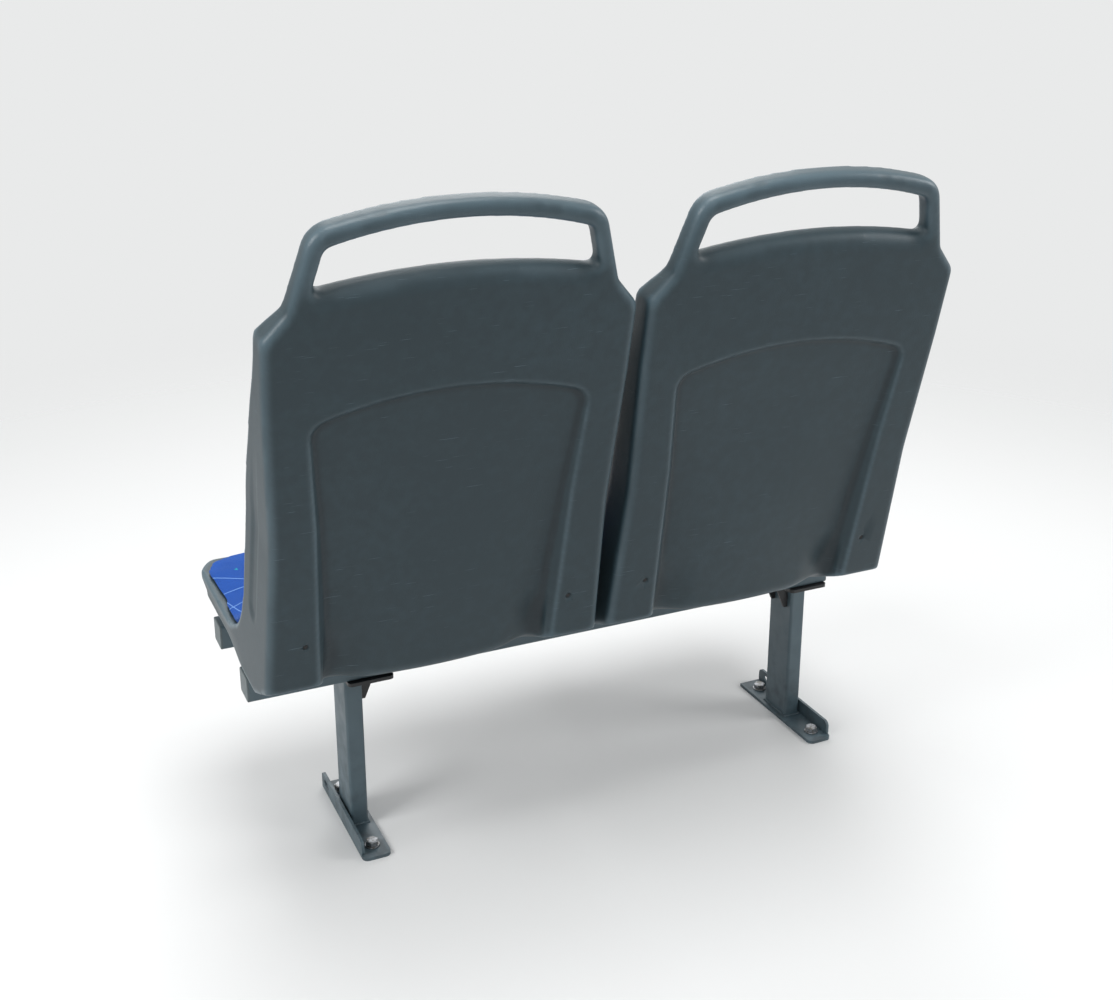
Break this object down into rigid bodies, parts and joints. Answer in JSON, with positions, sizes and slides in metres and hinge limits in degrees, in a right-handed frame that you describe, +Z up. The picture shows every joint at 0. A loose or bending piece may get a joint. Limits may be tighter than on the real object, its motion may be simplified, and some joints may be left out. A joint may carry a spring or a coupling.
{
  "type": "city bus twin passenger seat",
  "caption": "Fixed twin passenger seat of a city bus: moulded shells with grab handles and upholstered pads on a steel frame with floor feet.",
  "frame": {"origin": "centre of the rectangle of four floor bolts, on the underside of the feet", "axes": "+Z up, -Y the way a passenger faces, +X towards the aisle"},
  "size_m": [0.8989, 0.5387, 0.9307],
  "materials": {
    "shell_plastic": "fine moulded grain, satin",
    "seat_fabric": "woven moquette",
    "frame_paint": "powder coat",
    "bracket_paint": "black powder coat",
    "cap_plastic": "moulded"
  },
  "bodies": {
    "root": {"aisle_shell": "shell_plastic", "aisle_back_pad": "seat_fabric", "aisle_seat_pad": "seat_fabric", "aisle_inner_bearer": "frame_paint", "aisle_outer_bearer": "frame_paint", "aisle_foot": "frame_paint", "aisle_post": "frame_paint", "aisle_saddle": "bracket_paint", "window_shell": "shell_plastic", "window_back_pad": "seat_fabric", "window_seat_pad": "seat_fabric", "window_inner_bearer": "frame_paint", "window_outer_bearer": "frame_paint", "window_foot": "frame_paint", "window_post": "frame_paint", "window_saddle": "bracket_paint", "front_cross_tube": "frame_paint", "front_tube_aisle_cap": "cap_plastic", "front_tube_window_cap": "cap_plastic", "rear_cross_tube": "frame_paint", "rear_tube_aisle_cap": "cap_plastic", "rear_tube_window_cap": "cap_plastic"}
  },
  "joints": []
}
